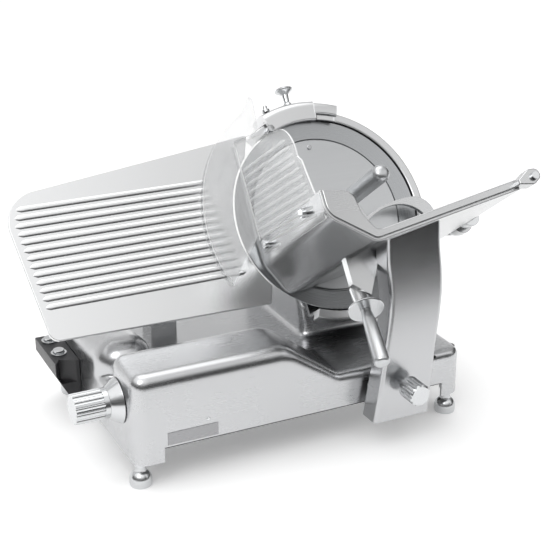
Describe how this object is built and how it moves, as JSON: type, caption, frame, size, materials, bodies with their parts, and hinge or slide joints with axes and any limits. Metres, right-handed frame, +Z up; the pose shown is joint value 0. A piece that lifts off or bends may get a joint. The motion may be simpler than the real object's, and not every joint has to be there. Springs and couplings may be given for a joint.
{
  "type": "deli meat slicer",
  "caption": "Gravity-feed deli meat slicer in cast aluminium: leaning round blade, ribbed gauge plate, sliding food tray with clear guards, pusher and top sharpener.",
  "frame": {"origin": "on the bench plane, under the middle of the machine's overall outline", "axes": "+Z up; +X along the food tray's travel, from the gauge plate towards the blade; +Y from the carriage arm at the front to the motor column at the rear"},
  "size_m": [0.819, 0.5798, 0.5314],
  "materials": {
    "cast": "satin",
    "blade_steel": "polished",
    "cover_steel": "satin",
    "steel": "satin",
    "chrome": "polished",
    "knob_metal": "satin",
    "clear_plastic": "clear gloss",
    "black_plastic": "matt",
    "motor_paint": "satin",
    "rubber": "matt",
    "bronze": "satin",
    "shoe_plastic": "matt",
    "stone": "matt",
    "plate": "satin"
  },
  "bodies": {
    "base": {"base_casting": "cast", "bottom_cover": "cover_steel", "feet": "chrome", "nameplate": "plate", "power_gland": "black_plastic", "switch_box": "black_plastic", "switch_rings": "chrome", "gauge_guide": "cast", "blade_spindle": "steel", "blade_cover": "cover_steel", "cover_pin": "chrome", "ring_guard": "cast", "blade_housing": "cast", "slice_deflector": "cover_steel", "motor": "motor_paint", "drive_belt": "rubber", "guide_rod": "chrome", "guide_bar": "chrome", "sharpener_post": "cast", "sharpener_cap": "cast", "sharpener_nut": "chrome"},
    "start": {"start_button": "chrome"},
    "stop": {"stop_button": "chrome"},
    "knob": {"thickness_knob": "knob_metal", "knob_dial": "knob_metal", "knob_shaft": "steel"},
    "gauge": {"gauge_plate": "cast", "gauge_bracket": "cast", "gauge_shaft": "steel"},
    "blade_rotor": {"blade": "blade_steel", "blade_hub": "steel", "blade_screws": "steel"},
    "motor_rotor": {"motor_pulley": "steel"},
    "carriage": {"carriage_foot": "cast", "bushings": "bronze", "guide_shoe": "shoe_plastic"},
    "tray": {"hinge_pin": "chrome", "carriage_arm": "cast", "food_tray": "cast", "tray_bracket": "cast", "tray_guard": "clear_plastic", "wing_guard": "clear_plastic", "guard_screws": "chrome", "handle_disc": "knob_metal", "carriage_handle": "knob_metal", "pusher_rod": "chrome"},
    "arm_clamp": {"arm_knob": "knob_metal"},
    "pusher_slider": {"pusher_sleeve": "steel"},
    "pusher": {"pusher_arm": "cast", "pusher_spikes": "steel", "pusher_handle": "knob_metal"},
    "sharpener_lock": {"sharpener_knob": "chrome"},
    "grinder": {"grind_spindle": "steel"},
    "stone_wheel": {"grind_stone": "stone"}
  },
  "joints": [
    {"name": "carriage_travel", "type": "slide", "parent": "base", "child": "carriage", "axis": [1, 0, 0], "range_m": [-0.29, 0]},
    {"name": "tray_tilt", "type": "hinge", "parent": "carriage", "child": "tray", "pos_m": [0.1625, -0.17208, 0.062], "axis": [1, 0, 0], "range_deg": [0, 45]},
    {"name": "arm_clamp_turn", "type": "hinge", "parent": "tray", "child": "arm_clamp", "pos_m": [0.1535, -0.19208, 0.119], "axis": [0, -1, 0], "range_deg": [-180, 180]},
    {"name": "pusher_travel", "type": "slide", "parent": "tray", "child": "pusher_slider", "axis": [0, -0.809, 0.5878], "range_m": [0, 0.18]},
    {"name": "pusher_swing", "type": "hinge", "parent": "pusher_slider", "child": "pusher", "pos_m": [0.3885, 0.02221, 0.29067], "axis": [0, -0.809, 0.5878], "range_deg": [-110, 0]},
    {"name": "blade_spin", "type": "hinge", "parent": "base", "child": "blade_rotor", "pos_m": [0.1535, 0.08292, 0.33], "axis": [0, -0.809, 0.5878], "continuous": true},
    {"name": "motor_spin", "type": "hinge", "parent": "base", "child": "motor_rotor", "pos_m": [0.1535, 0.0623, 0.25228], "axis": [0, -0.809, 0.5878], "continuous": true},
    {"name": "thickness_turn", "type": "hinge", "parent": "base", "child": "knob", "pos_m": [-0.3035, -0.06908, 0.134], "axis": [-1, 0, 0], "range_deg": [0, 330]},
    {"name": "gauge_travel", "type": "slide", "parent": "base", "child": "gauge", "axis": [0, -0.809, 0.5878], "range_m": [-0.015, 0]},
    {"name": "start_press", "type": "slide", "parent": "base", "child": "start", "axis": [0, 0, -1], "range_m": [0, 0.003], "stiffness_N_per_m": 300},
    {"name": "stop_press", "type": "slide", "parent": "base", "child": "stop", "axis": [0, 0, -1], "range_m": [0, 0.003], "stiffness_N_per_m": 300},
    {"name": "sharpener_lock_turn", "type": "hinge", "parent": "base", "child": "sharpener_lock", "pos_m": [0.1385, 0.21271, 0.49503], "axis": [0, 0.5878, 0.809], "range_deg": [-180, 180]},
    {"name": "grinder_press", "type": "slide", "parent": "base", "child": "grinder", "axis": [0, -0.809, 0.5878], "range_m": [0, 0.003], "stiffness_N_per_m": 300},
    {"name": "stone_spin", "type": "hinge", "parent": "grinder", "child": "stone_wheel", "pos_m": [0.1255, 0.18697, 0.44599], "axis": [0, -0.809, 0.5878], "continuous": true}
  ],
  "couplings": [
    {"joint": "motor_spin", "follows": "blade_spin", "ratio": 2.5},
    {"joint": "thickness_turn", "follows": "gauge_travel", "rad_per_m": -383.97}
  ]
}
